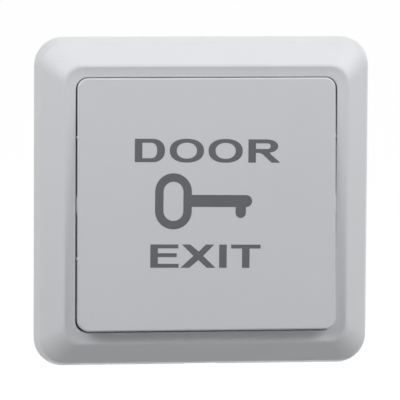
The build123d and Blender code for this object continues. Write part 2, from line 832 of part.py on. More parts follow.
with BuildPart() as common_clamp:
    add(wire_clamp(terminal_x))
common_clamp.part.label = "common_clamp"

with BuildPart() as open_clamp:
    add(wire_clamp(-terminal_x))
open_clamp.part.label = "open_clamp"

os.makedirs("parts", exist_ok=True)
for piece in (
    trim_frame,
    mounting_plate,
    button_paddle,
    switch_housing,
    housing_lid,
    plunger,
    return_spring,
    common_terminal,
    open_terminal,
    contact_leaf,
    leaf_rivet,
    moving_contact,
    fixed_contact,
    housing_screws,
    lid_screws,
    terminal_screws,
    common_clamp,
    open_clamp,
):
    export_step(piece.part, f"parts/{piece.part.label}.step")

print(
    f"rest tilt {degrees(rest_tilt):.3f} deg, hinge at height {hinge_height:.2f}, z {hinge_z:.2f}, "
    f"plunger travel {plunger_travel:.3f}, leaf swing {degrees(leaf_swing):.3f} deg"
)
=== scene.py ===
"""Door exit button: the looks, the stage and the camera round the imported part."""

import json
import math
from functools import partial

import bmesh
import bpy
from bpy.props import FloatProperty, FloatVectorProperty, IntProperty, PointerProperty
from bpy.types import Operator, Panel, PropertyGroup
from mathutils import Matrix, Vector


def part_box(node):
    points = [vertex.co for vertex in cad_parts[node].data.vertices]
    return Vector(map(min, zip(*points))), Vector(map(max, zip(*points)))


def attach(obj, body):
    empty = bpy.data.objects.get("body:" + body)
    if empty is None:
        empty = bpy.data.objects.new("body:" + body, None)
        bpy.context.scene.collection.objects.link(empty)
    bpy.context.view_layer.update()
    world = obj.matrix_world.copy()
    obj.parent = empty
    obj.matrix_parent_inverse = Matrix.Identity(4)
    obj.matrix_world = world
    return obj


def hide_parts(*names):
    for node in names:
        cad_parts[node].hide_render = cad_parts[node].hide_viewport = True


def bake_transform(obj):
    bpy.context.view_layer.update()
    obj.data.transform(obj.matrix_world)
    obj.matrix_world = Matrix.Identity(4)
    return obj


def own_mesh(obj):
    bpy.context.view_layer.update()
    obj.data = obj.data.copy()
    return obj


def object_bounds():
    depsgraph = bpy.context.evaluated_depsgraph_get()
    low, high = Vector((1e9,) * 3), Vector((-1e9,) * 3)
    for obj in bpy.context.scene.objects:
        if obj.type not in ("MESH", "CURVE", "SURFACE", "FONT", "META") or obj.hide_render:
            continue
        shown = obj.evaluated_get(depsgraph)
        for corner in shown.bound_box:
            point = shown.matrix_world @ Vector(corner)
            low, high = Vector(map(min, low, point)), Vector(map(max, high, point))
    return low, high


bl_info = {
    "name": "Door exit button",
    "version": (1, 0, 0),
    "blender": (4, 5, 0),
    "location": "View3D > Sidebar > Exit button",
    "description": "Dresses the packed door exit button and sets it on a plain stage",
    "category": "Object",
}

MM = 0.001
WELD = 1e-6
TONE_CLOUD = 14 * MM
SHEEN_CLOUD = 5 * MM
ROLLED_ALONG_X = (0.1, 1, 1)

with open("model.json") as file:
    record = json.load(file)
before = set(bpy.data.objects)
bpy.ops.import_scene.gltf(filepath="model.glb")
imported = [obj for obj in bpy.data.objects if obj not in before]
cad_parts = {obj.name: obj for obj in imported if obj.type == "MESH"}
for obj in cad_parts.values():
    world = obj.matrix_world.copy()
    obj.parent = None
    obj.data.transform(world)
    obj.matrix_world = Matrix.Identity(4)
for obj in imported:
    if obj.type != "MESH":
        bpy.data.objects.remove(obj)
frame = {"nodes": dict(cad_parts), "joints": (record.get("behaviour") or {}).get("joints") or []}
cad_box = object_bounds()
joints = {joint["name"]: joint for joint in frame["joints"]}
press = joints["button_press"]


# Kinds of settings

def length_setting(name, description, default):
    """A length, shown to its last digit."""
    return FloatProperty(
        name=name, description=description, default=default, unit="LENGTH", precision=6
    )


def angle_setting(name, description, degrees):
    """An angle that is given in degrees."""
    return FloatProperty(
        name=name, description=description, default=math.radians(degrees), subtype="ANGLE"
    )


def level_setting(name, description, default):
    """A brightness or a share, which is never below zero."""
    return FloatProperty(name=name, description=description, default=default, min=0.0)


def power_setting(name, description, default):
    """The power of a lamp."""
    return FloatProperty(name=name, description=description, default=default, min=0.0, unit="POWER")


def direction_setting(name, description, default):
    """A direction seen from the button."""
    return FloatVectorProperty(
        name=name, description=description, default=default, subtype="DIRECTION"
    )


def colour_setting(name, description, default):
    """The colour of a material."""
    return FloatVectorProperty(
        name=name, description=description, default=default, subtype="COLOR", min=0.0, max=1.0
    )


# Settings

class MouldedSizes(PropertyGroup):
    """Sizes of the finish on moulded and stamped pieces."""

    cover_edge: length_setting(
        "Cover edge",
        "Width of the softening on the cover's and the paddle's sharp edges",
        0.15 * MM,
    )
    inner_edge: length_setting(
        "Inner edge", "Width of the softening on the edges of the pieces inside", 0.08 * MM
    )
    nose_round: length_setting(
        "Nose rounding", "Radius of the outer rim at the plunger's end", 0.7 * MM
    )
    grain: length_setting("Grain", "Size of the fine spark-eroded grain of the mould", 0.3 * MM)


class PrintSizes(PropertyGroup):
    """Sizes of the words and the key that are printed on the paddle."""

    cap_height: length_setting("Capital height", "Height of the printed capitals", 5.9 * MM)
    stem: length_setting("Stem", "Thickness of the upright strokes", 1.93 * MM)
    bar: length_setting("Bar", "Thickness of the level strokes", 1.0 * MM)
    film: length_setting("Film", "How far the ink stands proud of the plastic", 0.015 * MM)
    upper_line: length_setting(
        "Upper line", "Height of the upper word's middle above the paddle's middle", 13.55 * MM
    )
    key_line: length_setting(
        "Key line", "Height of the key's middle above the paddle's middle", 0.32 * MM
    )
    lower_line: length_setting(
        "Lower line", "Height of the lower word's middle above the paddle's middle", -13.12 * MM
    )
    upper_shift: length_setting(
        "Upper shift", "How far the upper word sits to the right of the middle", -0.05 * MM
    )
    key_shift: length_setting(
        "Key shift", "How far the key sits to the right of the middle", -0.47 * MM
    )
    lower_shift: length_setting(
        "Lower shift", "How far the lower word sits to the right of the middle", -0.4 * MM
    )
    turn: angle_setting("Turn", "How far the print sits turned on the paddle", -0.6)


class SpringSizes(PropertyGroup):
    """Sizes of the return spring."""

    wire: length_setting("Wire", "Thickness of the spring wire", 0.6 * MM)
    turns: IntProperty(
        name="Turns",
        description="Turns of the spring, with one closed turn at each end",
        default=5,
        min=3,
        max=12,
    )


class ScrewSizes(PropertyGroup):
    """Sizes that all the screws share."""

    pitch: length_setting("Pitch", "Distance from one turn of the thread to the next", 0.7 * MM)
    thread: length_setting("Thread depth", "Height of the thread above the core", 0.22 * MM)
    recess: length_setting("Recess", "Depth of the cross recess in the head", 0.7 * MM)
    recess_span: level_setting(
        "Recess span", "Reach of the cross recess as a share of the head's radius", 1.24
    )
    recess_width: level_setting(
        "Recess width", "Width of the cross recess as a share of the head's radius", 0.3
    )
    crown: length_setting("Crown", "How far the head's middle rises above its rim", 0.45 * MM)
    small_head: length_setting(
        "Small head", "Head height of the screws that hold the housing and its lid", 1.3 * MM
    )
    small_shank: length_setting(
        "Small shank", "Shank radius of the screws that hold the housing and its lid", 1.2 * MM
    )
    clamp_head: length_setting(
        "Clamp head", "Head height of the screws that clamp the wires", 2.1 * MM
    )
    clamp_shank: length_setting(
        "Clamp shank", "Shank radius of the screws that clamp the wires", 1.5 * MM
    )


class FinishColours(PropertyGroup):
    """Colours of the plastics, metals and ink."""

    cover: colour_setting("Cover white", "Colour of the cover's plastic", (0.705, 0.717, 0.74))
    paddle: colour_setting("Paddle white", "Colour of the paddle's plastic", (0.642, 0.654, 0.676))
    plate: colour_setting(
        "Plate white", "Colour of the mounting plate's plastic", (0.62, 0.62, 0.60)
    )
    housing: colour_setting("Housing", "Colour of the switch housing's plastic", (0.52, 0.52, 0.49))
    plunger: colour_setting(
        "Plunger", "Colour of the plunger's slippery plastic", (0.72, 0.71, 0.66)
    )
    ink: colour_setting("Ink", "Colour of the printed words and key", (0.132, 0.139, 0.146))
    steel: colour_setting("Spring steel", "Colour of the spring wire", (0.50, 0.50, 0.51))
    brass: colour_setting("Brass", "Colour of the terminal strips", (0.68, 0.48, 0.20))
    bronze: colour_setting("Bronze", "Colour of the contact leaf and its rivet", (0.66, 0.36, 0.19))
    silver: colour_setting("Contact silver", "Colour of the contacts", (0.80, 0.80, 0.77))
    zinc: colour_setting("Zinc plate", "Colour of the plated screws and clamps", (0.60, 0.61, 0.63))


class StageSettings(PropertyGroup):
    """Floor, light and camera."""

    floor_drop: length_setting("Floor drop", "Height of the wall-hung button above the floor", 0.1)
    floor_pale: level_setting("Floor paint", "How pale the floor looks before its glow", 0.5)
    floor_glow: level_setting("Floor glow", "Glow that brings the floor's look up to white", 0.86)
    floor_bounce: level_setting(
        "Floor bounce", "How pale the floor is for the light that it sends up", 0.37
    )
    room_light: level_setting("Room light", "Light that the room sends from all round", 0.15)
    room_rise: level_setting(
        "Room light rise", "How much brighter the room is above than at the middle", 0.04
    )
    room_sides: level_setting(
        "Room sides", "How much brighter the room is to the left and right than at the middle", 0.34
    )
    left_lamp: power_setting("Left lamp", "Power of the soft lamp to the left of the front", 1.04)
    right_lamp: power_setting(
        "Right lamp", "Power of the soft lamp to the right of the front", 1.11
    )
    top_lamp: power_setting("Top lamp", "Power of the soft lamp above the front", 0.28)
    back_lamp: power_setting(
        "Back lamp", "Power of the soft lamp behind, which lights the wall side", 0.8
    )
    left_side: direction_setting("Left side", "Direction of the left lamp", (-0.73, -0.54, 0.6))
    right_side: direction_setting("Right side", "Direction of the right lamp", (0.79, -0.43, 0.6))
    high_lamp: direction_setting("High lamp", "Direction of the top lamp", (0.0, -0.45, 0.89))
    rear_lamp: direction_setting("Rear lamp", "Direction of the back lamp", (0.2, 0.93, 0.3))
    lamp_width: length_setting("Lamp width", "Width of the square face of each soft lamp", 0.3)
    lamp_distance: length_setting(
        "Lamp distance", "Distance of each soft lamp from the plate", 0.45
    )
    camera_distance: length_setting("Camera distance", "Distance of the camera from the plate", 1.0)
    camera_left: angle_setting(
        "Camera left", "How far the camera stands round to the left of the plate", 7.5
    )
    camera_rise: angle_setting("Camera rise", "How far the camera looks down at the plate", 5.8)
    camera_roll: angle_setting("Camera roll", "Turn of the camera about its line of sight", 0.35)
    view_width: length_setting(
        "View width", "Width that the picture shows at the plate", 102.4 * MM
    )
    aim: FloatVectorProperty(
        name="Aim",
        description="The point of the plate that the camera looks at",
        default=(-0.28 * MM, 0.0, 0.15 * MM),
        subtype="TRANSLATION",
        unit="LENGTH",
        precision=6,
    )


class ExitButtonSettings(PropertyGroup):
    """All the settings of the door exit button."""

    moulded: PointerProperty(type=MouldedSizes)
    print_sizes: PointerProperty(type=PrintSizes)
    spring: PointerProperty(type=SpringSizes)
    screws: PointerProperty(type=ScrewSizes)
    colours: PointerProperty(type=FinishColours)
    stage: PointerProperty(type=StageSettings)


# Nodes

def new_node(tree, kind, inputs=(), **modes):
    """A new node of a tree. Each input, by name or number, gets a socket or a plain value."""
    node = tree.nodes.new(kind)
    for mode, choice in modes.items():
        setattr(node, mode, choice)
    for key, source in dict(inputs).items():
        if isinstance(source, bpy.types.NodeSocket):
            tree.links.new(source, node.inputs[key])
        else:
            node.inputs[key].default_value = source
    return node


def math_node(tree, operation, *values):
    """A Math node's result. Each value is a socket or a number."""
    return new_node(tree, "ShaderNodeMath", enumerate(values), operation=operation).outputs["Value"]


def clamped_share(tree, value, start, end):
    """How far a value has come from start to end, from 0 to 1."""
    inputs = {"Value": value, "From Min": start, "From Max": end}
    return new_node(tree, "ShaderNodeMapRange", inputs).outputs["Result"]


# Shared shader effects

def new_shader_group(name, inputs, outputs):
    """An empty shader group with its named sockets, and its two end nodes."""
    group = bpy.data.node_groups.new(name, "ShaderNodeTree")
    for label, kind, default in inputs:
        socket = group.interface.new_socket(name=label, in_out="INPUT", socket_type=kind)
        socket.default_value = default
    for label, kind in outputs:
        group.interface.new_socket(name=label, in_out="OUTPUT", socket_type=kind)
    start = group.nodes.new("NodeGroupInput")
    end = group.nodes.new("NodeGroupOutput")
    return group, start, end


def soft_clouds():
    """Broad faint clouds between two values, for a tone or a roughness that wanders."""
    found = bpy.data.node_groups.get("Soft clouds")
    if found:
        return found
    group, start, end = new_shader_group(
        "Soft clouds",
        [
            ("Vector", "NodeSocketVector", (0.0, 0.0, 0.0)),
            ("Cloud Size", "NodeSocketFloat", 12 * MM),
            ("Low", "NodeSocketFloat", 0.0),
            ("High", "NodeSocketFloat", 1.0),
        ],
        [("Value", "NodeSocketFloat")],
    )
    given = start.outputs
    usual_low, usual_high = 0.3, 0.7  # the noise seldom leaves this range
    noise = new_node(
        group,
        "ShaderNodeTexNoise",
        {
            "Vector": given["Vector"],
            "Scale": math_node(group, "DIVIDE", 1.0, given["Cloud Size"]),
            "Detail": 3.0,
        },
    )
    spread = new_node(
        group,
        "ShaderNodeMapRange",
        {
            "Value": noise.outputs["Fac"],
            "From Min": usual_low,
            "From Max": usual_high,
            "To Min": given["Low"],
            "To Max": given["High"],
        },
    )
    group.links.new(spread.outputs["Result"], end.inputs["Value"])
    return group


def fine_grain():
    """The fine even grain of a mould face or a stamped face, stretched along one way if wanted."""
    found = bpy.data.node_groups.get("Fine grain")
    if found:
        return found
    group, start, end = new_shader_group(
        "Fine grain",
        [
            ("Vector", "NodeSocketVector", (0.0, 0.0, 0.0)),
            ("Stretch", "NodeSocketVector", (1.0, 1.0, 1.0)),
            ("Grain Size", "NodeSocketFloat", 0.3 * MM),
        ],
        [("Height", "NodeSocketFloat")],
    )
    given = start.outputs
    stretched = new_node(
        group,
        "ShaderNodeVectorMath",
        {0: given["Vector"], 1: given["Stretch"]},
        operation="MULTIPLY",
    )
    noise = new_node(
        group,
        "ShaderNodeTexNoise",
        {
            "Vector": stretched.outputs["Vector"],
            "Scale": math_node(group, "DIVIDE", 1.0, given["Grain Size"]),
            "Detail": 2.0,
        },
    )
    group.links.new(noise.outputs["Fac"], end.inputs["Height"])
    return group


# Materials

def surface(
    name,
    tint,
    tone_drop,
    rough,
    grain,
    grain_depth,
    stretch=(1, 1, 1),
    metallic=0.0,
    specular=0.5,
):
    """A finish whose tone and roughness wander a little, with a fine grain in its surface.

    tone_drop is how much darker the tint gets in places, rough the lowest and highest roughness,
    grain the grain's size, and grain_depth its depth. A finish is made once and then found again.
    """
    found = bpy.data.materials.get(name)
    if found:
        return found
    material = bpy.data.materials.new(name)
    material.use_nodes = True
    tree = material.node_tree
    add = partial(new_node, tree)
    shader = tree.nodes["Principled BSDF"]
    shader.inputs["Metallic"].default_value = metallic
    shader.inputs["Specular IOR Level"].default_value = specular
    place = add("ShaderNodeTexCoord").outputs["Object"]
    tone = add(
        "ShaderNodeGroup", {"Vector": place, "Cloud Size": TONE_CLOUD}, node_tree=soft_clouds()
    )
    darker = [channel * (1 - tone_drop) for channel in tint]
    mix = add(
        "ShaderNodeMix",
        {"Factor": tone.outputs["Value"], "A": (*tint, 1.0), "B": (*darker, 1.0)},
        data_type="RGBA",
    )
    sheen = add(
        "ShaderNodeGroup",
        {"Vector": place, "Cloud Size": SHEEN_CLOUD, "Low": rough[0], "High": rough[1]},
        node_tree=soft_clouds(),
    )
    texture = add(
        "ShaderNodeGroup",
        {"Vector": place, "Stretch": stretch, "Grain Size": grain},
        node_tree=fine_grain(),
    )
    bump = add(
        "ShaderNodeBump",
        {"Strength": 1.0, "Distance": grain_depth, "Height": texture.outputs["Height"]},
    )
    tree.links.new(mix.outputs["Result"], shader.inputs["Base Color"])
    tree.links.new(sheen.outputs["Value"], shader.inputs["Roughness"])
    tree.links.new(bump.outputs["Normal"], shader.inputs["Normal"])
    return material


def plastic(name, tint, tone_drop, rough, grain_depth, specular=0.5):
    """A moulded plastic with the mould's grain on it."""
    grain = bpy.context.scene.exit_button.moulded.grain
    return surface(name, tint, tone_drop, rough, grain, grain_depth, specular=specular)


def white_plastic(name, tint):
    """Satin white plastic of the cover or of the paddle."""
    return plastic(
        name, tint, tone_drop=0.015, rough=(0.36, 0.44), grain_depth=0.002 * MM, specular=0.4
    )


def plate_plastic():
    """Matt off-white plastic of the mounting plate."""
    tint = bpy.context.scene.exit_button.colours.plate
    return plastic(
        "Matt plate plastic", tint, tone_drop=0.03, rough=(0.5, 0.62), grain_depth=0.006 * MM
    )


def housing_plastic():
    """Stiff grey-white plastic of the housing and its lid."""
    tint = bpy.context.scene.exit_button.colours.housing
    return plastic(
        "Housing plastic", tint, tone_drop=0.05, rough=(0.48, 0.62), grain_depth=0.008 * MM
    )


def plunger_plastic():
    """Slippery cream plastic of the plunger."""
    tint = bpy.context.scene.exit_button.colours.plunger
    return plastic(
        "Plunger plastic", tint, tone_drop=0.03, rough=(0.3, 0.38), grain_depth=0.001 * MM
    )


def printing_ink():
    """Grey ink of the words and the key."""
    return surface(
        "Grey ink",
        bpy.context.scene.exit_button.colours.ink,
        tone_drop=0.06,
        rough=(0.5, 0.6),
        grain=0.12 * MM,
        grain_depth=0.002 * MM,
        specular=0.3,
    )


def metal(name, tint, rough, stretch=(1, 1, 1)):
    """A bare or plated metal with a fine drawn or rolled grain."""
    return surface(
        name,
        tint,
        tone_drop=0.12,
        rough=rough,
        grain=0.15 * MM,
        grain_depth=0.002 * MM,
        stretch=stretch,
        metallic=1.0,
    )


def zinc_plate():
    """Bright zinc on the steel of the screws and clamps."""
    return metal("Zinc plate", bpy.context.scene.exit_button.colours.zinc, (0.22, 0.34))


# Meshes

def link_piece(name, mesh):
    """A new object of the scene for a mesh that is already in place."""
    piece = bpy.data.objects.new(name, mesh)
    bpy.context.scene.collection.objects.link(piece)
    return piece


def made_plain(piece):
    """Turns what the modifiers make of a piece into its plain mesh."""
    depsgraph = bpy.context.evaluated_depsgraph_get()
    mesh = bpy.data.meshes.new_from_object(
        piece.evaluated_get(depsgraph), preserve_all_data_layers=True, depsgraph=depsgraph
    )
    piece.modifiers.clear()
    piece.data = mesh
    return piece


def close_seams(mesh):
    """Merges the doubles of a mesh and turns its faces outwards."""
    skin = bmesh.new()
    skin.from_mesh(mesh)
    bmesh.ops.remove_doubles(skin, verts=skin.verts, dist=WELD)
    bmesh.ops.recalc_face_normals(skin, faces=skin.faces)
    skin.to_mesh(mesh)
    skin.free()


def whole_copy(node, name):
    """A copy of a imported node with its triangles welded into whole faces."""
    flat = math.radians(0.05)
    mesh = frame["nodes"][node].data.copy()
    mesh.name = name
    skin = bmesh.new()
    skin.from_mesh(mesh)
    bmesh.ops.remove_doubles(skin, verts=skin.verts, dist=WELD)
    bmesh.ops.dissolve_limit(skin, angle_limit=flat, verts=skin.verts, edges=skin.edges)
    skin.to_mesh(mesh)
    skin.free()
    mesh.materials.clear()
    return link_piece(name, mesh)


def soften(piece, width, crease=20.0):
    """Bevels the hard edges of a piece by a width, and smooths its round faces."""
    mesh = piece.data
    mesh.shade_smooth()
    bevel = piece.modifiers.new("Edge softening", "BEVEL")
    bevel.width = width
    bevel.segments = 2
    bevel.limit_method = "ANGLE"
    bevel.angle_limit = math.radians(crease)
    bevel.use_clamp_overlap = True
    shading = piece.modifiers.new("Even shading", "WEIGHTED_NORMAL")
    shading.mode = "FACE_AREA"
    shading.keep_sharp = True
    return made_plain(piece)


def round_nose(piece, radius):
    """Rounds the outer rim of the plunger's end, over which the leaf rolls."""
    outermost = 0.9
    skin = bmesh.new()
    skin.from_mesh(piece.data)
    tip = max(vertex.co.y for vertex in skin.verts)
    end = {vertex for vertex in skin.verts if tip - vertex.co.y < WELD}
    reach = max(math.hypot(vertex.co.x, vertex.co.z) for vertex in end)
    rim = []
    for edge in skin.edges:
        first, second = edge.verts
        middle = (first.co + second.co) / 2
        outside = math.hypot(middle.x, middle.z) > outermost * reach
        if first in end and second in end and outside:
            rim.append(edge)
    if not rim:
        raise RuntimeError("the plunger has no rim at its end")
    bmesh.ops.bevel(skin, geom=rim, offset=radius, segments=5, profile=0.5, affect="EDGES")
    skin.to_mesh(piece.data)
    skin.free()
    return piece


def dress(node, name, body, material, width, nose=0.0):
    """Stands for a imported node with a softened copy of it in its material."""
    piece = whole_copy(node, name)
    if nose:
        round_nose(piece, nose)
    soften(piece, width)
    piece.data.materials.append(material)
    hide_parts(node)
    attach(piece, body)
    return piece


# Printed shapes, in millimetres from the lower left corner of each capital

def arc(centre, radii, start, end, steps=16, fullness=2.0):
    """Points along an arc of an ellipse. A fullness above 2 swells its shoulders."""
    points = []
    for step in range(steps + 1):
        angle = math.radians(start + (end - start) * step / steps)
        across = math.copysign(abs(math.cos(angle)) ** (2 / fullness), math.cos(angle))
        up = math.copysign(abs(math.sin(angle)) ** (2 / fullness), math.sin(angle))
        points.append((centre[0] + radii[0] * across, centre[1] + radii[1] * up))
    return points


def letter_d(height, stem, bar):
    """The outer edge and the counter of a wide D, and its width."""
    width = 1.3 * height
    bowl = 0.53 * height
    inner_bowl = bowl - 0.85 * stem
    middle = height / 2
    bowl_start = (width - bowl, middle)
    inner_start = (width - 1.03 * stem - inner_bowl, middle)
    outer = [(0, 0), *arc(bowl_start, (bowl, middle), -90, 90, fullness=2.2), (0, height)]
    counter = [
        (stem, bar),
        *arc(inner_start, (inner_bowl, middle - bar), -90, 90, fullness=2.2),
        (stem, height - bar),
    ]
    return [outer, counter], width


def letter_o(height, stem, bar):
    """The outer edge and the counter of a wide O, and its width."""
    width = 1.48 * height
    middle = (width / 2, height / 2)
    swell = 0.06
    outer_radii = (width / 2, height / 2 + swell)
    inner_radii = (width / 2 - 0.93 * stem, height / 2 + swell - bar)
    outer = arc(middle, outer_radii, 0, 360, steps=48, fullness=2.25)
    counter = arc(middle, inner_radii, 0, 360, steps=48, fullness=2.15)
    return [outer[:-1], counter[:-1]], width


def letter_r(height, stem, bar):
    """The outer edge and the counter of a wide R, and its width."""
    width = 1.39 * height
    waist = 0.42 * height
    bowl_middle = (height + waist) / 2
    bowl_start = 0.8 * height
    bowl_reach = 0.49 * height
    leg_foot = width - 1.17 * stem
    outer = [
        (0, 0),
        (stem, 0),
        (stem, waist),
        (0.44 * height, waist),
        (0.54 * height, 0.4 * height),
        (0.63 * height, 0.35 * height),
        (leg_foot, 0),
        (width, 0),
        (0.98 * height, 0.36 * height),
        (0.92 * height, 0.44 * height),
        *arc((bowl_start, bowl_middle), (bowl_reach, height - bowl_middle), -68, 90, fullness=2.1),
        (0, height),
    ]
    eye = (height - waist) / 2 - bar
    counter = [
        (stem, bowl_middle - eye),
        *arc((0.84 * height, bowl_middle), (eye, eye), -90, 90),
        (stem, bowl_middle + eye),
    ]
    return [outer, counter], width


def letter_e(height, stem, bar):
    """The edge of a wide E, and its width."""
    width = 1.225 * height
    middle = 0.54 * height
    edge = [
        (0, 0),
        (width, 0),
        (width, bar),
        (stem, bar),
        (stem, middle - bar / 2),
        (0.93 * width, middle - bar / 2),
        (0.93 * width, middle + bar / 2),
        (stem, middle + bar / 2),
        (stem, height - bar),
        (0.985 * width, height - bar),
        (0.985 * width, height),
        (0, height),
    ]
    return [edge], width


def letter_x(height, stem, bar):
    """The edge of a wide X, and its width."""
    width = 1.52 * height
    foot = 1.17 * stem
    crown = 1.12 * stem
    inset = 0.04 * width
    waist = 0.51 * height
    edge = [
        (0, 0),
        (foot, 0),
        (width / 2 + 0.01 * width, waist - 1.05 * bar),
        (width - foot, 0),
        (width, 0),
        (0.645 * width, waist),
        (width - inset, height),
        (width - inset - crown, height),
        (width / 2 + 0.02 * width, waist + 1.1 * bar),
        (inset + crown, height),
        (inset, height),
        (0.365 * width, waist),
    ]
    return [edge], width


def letter_i(height, stem, bar):
    """The edge of an I, and its width."""
    return [[(0, 0), (stem, 0), (stem, height), (0, height)]], stem


def letter_t(height, stem, bar):
    """The edge of a wide T, and its width."""
    width = 1.28 * height
    left = (width - stem) / 2
    edge = [
        (left, 0),
        (left + stem, 0),
        (left + stem, height - bar),
        (width, height - bar),
        (width, height),
        (0, height),
        (0, height - bar),
        (left, height - bar),
    ]
    return [edge], width


def word(letters, gaps, height, stem, bar):
    """The edges of a row of capitals with the given gaps between them, round the row's middle."""
    edges = []
    reach = 0.0
    for letter, gap in zip(letters, [*gaps, 0.0]):
        loops, width = letter(height, stem, bar)
        edges += [[(x + reach, y) for x, y in loop] for loop in loops]
        reach += width + gap
    return [[(x - reach / 2, y - height / 2) for x, y in loop] for loop in edges]


def key_edges():
    """The edges of the key: a long ring, a round-ended shaft and one round-ended bit."""
    ring = (-8.22, 0.41)
    ring_radius = 4.68
    ring_half_straight = 2.42
    stroke = 2.15
    shaft_middle = 0.54
    shaft_half = 1.53
    shaft_end = 10.33
    bit_middle = 8.96
    bit_half = 1.32
    bit_drop = -2.44
    top = (ring[0], ring[1] + ring_half_straight)
    foot = (ring[0], ring[1] - ring_half_straight)
    shaft_root = ring[0] + ring_radius
    outer = [
        (shaft_root, shaft_middle - shaft_half),
        (bit_middle - bit_half, shaft_middle - shaft_half),
        *arc((bit_middle, bit_drop), (bit_half, bit_half), 180, 360, steps=12),
        (bit_middle + bit_half, shaft_middle - shaft_half),
        *arc((shaft_end, shaft_middle), (shaft_half, shaft_half), -90, 90, steps=14),
        (shaft_root, shaft_middle + shaft_half),
        *arc(top, (ring_radius, ring_radius), 0, 180, steps=28),
        *arc(foot, (ring_radius, ring_radius), 180, 360, steps=28),
    ]
    hole_radius = ring_radius - stroke
    hole = [
        *arc(top, (hole_radius, hole_radius), 0, 180, steps=20),
        *arc(foot, (hole_radius, hole_radius), 180, 360, steps=20),
    ]
    return [outer, hole]


def paddle_face():
    """The place of the paddle's face at rest: across is X, up is Y and out is Z."""
    hinge = Vector(press["pos_m"])
    tilt = math.radians(press["range_deg"][1])
    flat = Matrix.Rotation(tilt, 3, "X")
    paddle = frame["nodes"]["button_paddle"].data
    front = min((flat @ (vertex.co - hinge)).y for vertex in paddle.vertices)
    origin = hinge + flat.transposed() @ Vector((-hinge.x, front, -hinge.z))
    up = flat.transposed() @ Vector((0, 0, 1))
    out = flat.transposed() @ Vector((0, -1, 0))
    across = Vector((1, 0, 0))
    place = Matrix((across, up, out)).transposed().to_4x4()
    place.translation = origin
    return place


def print_on_paddle(name, edges, middle):
    """A thin print on the paddle's face from its edges, in millimetres round its own middle."""
    sizes = bpy.context.scene.exit_button.print_sizes
    drawing = bpy.data.curves.new(name, "CURVE")
    drawing.dimensions = "2D"
    drawing.fill_mode = "BOTH"
    drawing.extrude = sizes.film
    for loop in edges:
        line = drawing.splines.new("POLY")
        line.points.add(len(loop) - 1)
        for point, (x, y) in zip(line.points, loop):
            point.co = (x * MM + middle[0], y * MM + middle[1], 0.0, 1.0)
        line.use_cyclic_u = True
    sketch = link_piece(name + "_sketch", drawing)
    depsgraph = bpy.context.evaluated_depsgraph_get()
    mesh = bpy.data.meshes.new_from_object(sketch.evaluated_get(depsgraph))
    bpy.data.objects.remove(sketch)
    mesh.transform(paddle_face() @ Matrix.Rotation(sizes.turn, 4, "Z"))
    close_seams(mesh)
    mesh.materials.clear()
    mesh.materials.append(printing_ink())
    piece = link_piece(name, mesh)
    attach(piece, "paddle")
    return piece


# Geometry trees

def new_geometry_tree(name, inputs):
    """An empty geometry tree, and its start and end nodes.

    inputs holds the names of the inputs for each kind of socket.
    """
    tree = bpy.data.node_groups.new(name, "GeometryNodeTree")
    for kind, labels in inputs.items():
        for label in labels:
            tree.interface.new_socket(name=label, in_out="INPUT", socket_type=kind)
    tree.interface.new_socket(name="Geometry", in_out="OUTPUT", socket_type="NodeSocketGeometry")
    start = tree.nodes.new("NodeGroupInput")
    end = tree.nodes.new("NodeGroupOutput")
    return tree, start, end


def swept(tree, path, radius, corners):
    """A bar along a path whose section has so many corners on a circle."""
    section = new_node(
        tree, "GeometryNodeCurvePrimitiveCircle", {"Resolution": corners, "Radius": radius}
    )
    bar = new_node(
        tree,
        "GeometryNodeCurveToMesh",
        {"Curve": path, "Profile Curve": section.outputs["Curve"], "Fill Caps": True},
    )
    return bar.outputs["Mesh"]


def joined(tree, shapes):
    """Several geometries as one."""
    node = tree.nodes.new("GeometryNodeJoinGeometry")
    for shape in shapes:
        tree.links.new(shape, node.inputs["Geometry"])
    return node.outputs["Geometry"]


def put_out(tree, end, geometry, material):
    """Ends a tree with real geometry in its material."""
    real = new_node(tree, "GeometryNodeRealizeInstances", {"Geometry": geometry})
    dressed = new_node(
        tree,
        "GeometryNodeSetMaterial",
        {"Geometry": real.outputs["Geometry"], "Material": material},
    )
    tree.links.new(dressed.outputs["Geometry"], end.inputs["Geometry"])


def grown(name, tree, values):
    """A piece whose plain mesh a geometry tree makes from named values."""
    crease = math.radians(35)
    piece = link_piece(name, bpy.data.meshes.new(name))
    modifier = piece.modifiers.new(tree.name, "NODES")
    modifier.node_group = tree
    for item in tree.interface.items_tree:
        if item.item_type == "SOCKET" and item.in_out == "INPUT":
            modifier[item.identifier] = values[item.name]
    made_plain(piece)
    close_seams(piece.data)
    piece.data.shade_smooth()
    piece.data.set_sharp_from_angle(angle=crease)
    return piece


